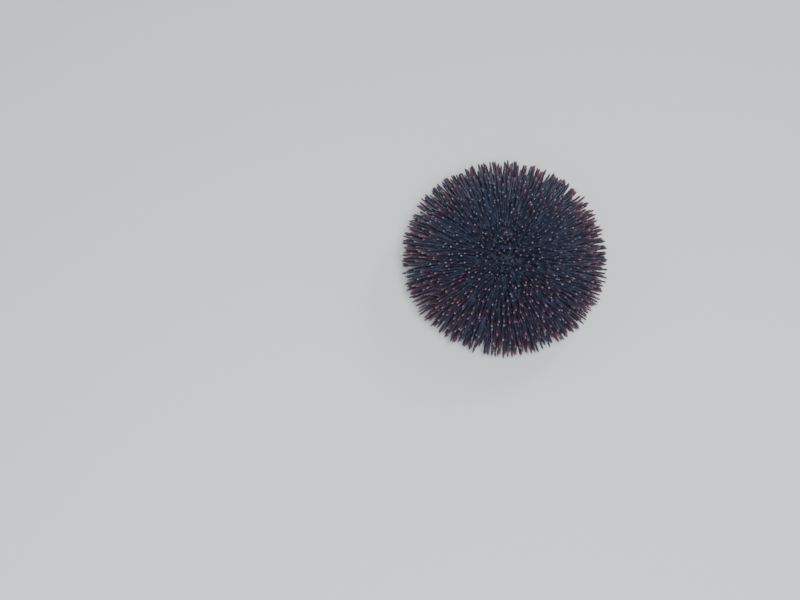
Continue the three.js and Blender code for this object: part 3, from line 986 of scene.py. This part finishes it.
def make_disc(finish):
    """Five large plates, five small ones between their outer ends, and scales round the vent."""
    points, faces, crowns = [], [], []

    def dome(kind, ring, turn, size=1.0):
        """One low rounded plate, with squarish corners, that lies on the test."""
        first = len(points)
        for scale, level in PLATE_LEVELS:
            for i in range(kind.sides):
                around = i / kind.sides * FULL_TURN
                cosine, sine = math.cos(around), math.sin(around)
                corner = abs(cosine) ** PLATE_SQUARENESS + abs(sine) ** PLATE_SQUARENESS
                stretch = scale / corner ** (1 / PLATE_SQUARENESS)
                radius = ring + kind.long * size * stretch * cosine
                across = kind.wide * size * stretch * sine * (1 + kind.taper * cosine)
                place = on_ring(radius, turn, 0) + on_ring(across, turn + math.pi / 2, 0)
                ground = height_at_radius(math.hypot(place.x, place.y))
                points.append(Vector((place.x, place.y, ground + kind.rise * level)))
                crowns.append(max(0.0, level))
        ground = height_at_radius(ring)
        points.append(on_ring(ring, turn, ground + kind.rise))
        crowns.append(1.0)
        points.append(on_ring(ring, turn, ground - PLATE_UNDERSIDE * kind.rise))
        crowns.append(0.0)
        faces.extend(ring_faces(first, kind.sides, len(PLATE_LEVELS)))
        top = first + (len(PLATE_LEVELS) - 1) * kind.sides
        for i in range(kind.sides):
            after = (i + 1) % kind.sides
            faces.append((top + i, top + after, len(points) - 2))
            faces.append((first + after, first + i, len(points) - 1))

    for plate in range(PLATES):
        turn = (plate + 0.5) / PLATES * FULL_TURN
        dome(PLATE, PLATE.ring, turn, SIEVE_PLATE_SIZE if plate == 0 else 1.0)
        dome(END_PLATE, END_PLATE.ring, turn + math.pi / PLATES)
    for scale in range(SCALES):
        ring = SCALE_RINGS[0] + SCALE_RINGS[1] * math.sqrt(scale / SCALES)
        dome(SCALE, ring, scale * SCALE_TURN)
    return piece_from("disc_plates", points, faces, finish, crowns, recalculate=True)


def make_gum_feet(finish):
    """Five pairs of short feet on the mouth's soft disc."""
    points, faces = [], []
    hollow = height_at_radius(MOUTH_RADIUS - RIM_SEAM, True) + MOUTH_FOOT_ROOT
    sides = MOUTH_FOOT_SIDES
    for foot in range(MOUTH_FEET):
        pair = foot // 2 + MOUTH_FOOT_PAIR[foot % 2]
        centre = on_ring(MOUTH_FOOT_RING, pair / ZONE_PAIRS * FULL_TURN, hollow)
        first = len(points)
        for radius, drop in MOUTH_FOOT_OUTLINE:
            for i in range(sides):
                points.append(centre + on_ring(radius * MM, i / sides * FULL_TURN, -drop * MM))
        faces.extend(ring_faces(first, sides, len(MOUTH_FOOT_OUTLINE)))
        end = first + (len(MOUTH_FOOT_OUTLINE) - 1) * sides
        faces.append(tuple(range(first, first + sides)))
        faces.append(tuple(range(end, end + sides)))
    return piece_from("mouth_feet", points, faces, finish, recalculate=True)


# Each piece, the nodes of model.glb it stands for, which are hidden, and a slot name kept beside it

spine_finish = spine_calcite("spine_calcite", TIP_PALE_AND_HIGHLIGHT, RIB_DEPTH)
small_spine_finish = spine_calcite("small_spine_calcite", SMALL_TIP_PALE_AND_HIGHLIGHT, SMALL_RIB_DEPTH)
skin_finish = test_skin()
membrane_finish = soft_membrane("mouth_membrane_skin", MEMBRANE_DARK, MEMBRANE_LIGHT, MEMBRANE_GRAIN)
foot_finish = soft_membrane("tube_foot_skin", FOOT_DARK, FOOT_LIGHT, FOOT_GRAIN)

zone_names = [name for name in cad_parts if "ambulacrum" in name]
skin = make_skin(skin_finish)
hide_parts(*zone_names)

spine_tree = grower("spine_grower", SPINE_SIDES, SPINE_RINGS, SPINE_SPACING, SPINE_OUTLINE)
small_tree = grower("small_spine_grower", SMALL_SIDES, SMALL_RINGS, SPINE_SPACING, SPINE_OUTLINE)
foot_tree = grower("tube_foot_grower", FOOT_SIDES, FOOT_RINGS, FOOT_SPACING, FOOT_OUTLINE)

pieces = [(skin, "spines")]
main_roots = spine_roots()
small_roots = small_spine_roots()
for pair in range(ZONE_PAIRS):
    low = pair / ZONE_PAIRS * FULL_TURN
    high = (pair + 1) / ZONE_PAIRS * FULL_TURN
    mine = [root for root in main_roots if low <= root["turn"] < high]
    coat = grow(f"spines_{pair + 1}", mine, spine_tree, SPINE.radius, spine_finish)
    pieces.append((coat, "spines"))
    mine = [root for root in small_roots if low <= root["turn"] < high]
    small = grow(f"small_spines_{pair + 1}", mine, small_tree, SMALL_SPINE.radius, small_spine_finish)
    pieces.append((small, "spines"))
    for coat_piece in (coat, small):
        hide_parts(f"ambulacrum_{pair + 1}", f"interambulacrum_{pair + 1}")
disc_spines = grow("disc_spines", disc_spine_roots(), small_tree, DISC_SPINE.radius, small_spine_finish)
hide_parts("apical_disc")
pieces.append((disc_spines, "spines"))
feet = grow("tube_feet", tube_foot_roots(), foot_tree, TUBE_FOOT.radius, foot_finish)
pieces.append((feet, "membrane"))

disc = make_disc(disc_plate())
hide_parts("apical_disc")
pieces.append((disc, "disc"))
membrane = make_membrane(membrane_finish)
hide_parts("mouth_membrane")
pieces.append((membrane, "membrane"))
gum_feet = make_gum_feet(foot_finish)
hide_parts("mouth_membrane")
pieces.append((gum_feet, "membrane"))
enamel = tooth_enamel()
for number in range(1, TEETH + 1):
    tooth = make_tooth(number, enamel)
    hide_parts(f"tooth_{number}")
    pieces.append((tooth, "teeth"))
for piece, slot_name in pieces:
    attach(piece, "root")

# The studio


def soft_light(name, place, size, power, colour):
    data = bpy.data.lights.new(name, "AREA")
    data.size = size
    data.energy = power
    data.color = colour
    light = bpy.data.objects.new(name, data)
    light.location = place
    light.rotation_euler = (Vector(LIT_POINT) - Vector(place)).to_track_quat("-Z", "Y").to_euler()
    bpy.context.scene.collection.objects.link(light)


floor_corners = [(x * FLOOR_REACH, y * FLOOR_REACH, 0) for x, y in ((-1, -1), (1, -1), (1, 1), (-1, 1))]
floor = piece_from("studio_floor", floor_corners, [(0, 1, 2, 3)], studio_floor())
for light_values in LIGHTS:
    soft_light(*light_values)
world = bpy.data.worlds.new("studio_light")
world.use_nodes = True
sky = world.node_tree.nodes["Background"].inputs
sky["Color"].default_value = (*SKY_COLOUR, 1)
sky["Strength"].default_value = SKY_STRENGTH
bpy.context.scene.world = world

camera_data = bpy.data.cameras.new("camera")
camera_data.lens = LENS
camera_data.sensor_width = SENSOR
camera = bpy.data.objects.new("camera", camera_data)
focal_pixels = LENS * PICTURE_PIXELS / SENSOR
distance = focal_pixels * URCHIN_WIDTH / URCHIN_PIXELS
pixel = distance / focal_pixels
back = Vector((0, -math.cos(ELEVATION), math.sin(ELEVATION)))
right = Vector((1, 0, 0))
aim = URCHIN_MIDDLE - right * PIXELS_RIGHT * pixel - back.cross(right) * PIXELS_UP * pixel
camera.location = aim + back * distance
camera.rotation_euler = (-back).to_track_quat("-Z", "Y").to_euler()
bpy.context.scene.collection.objects.link(camera)
bpy.context.scene.camera = camera
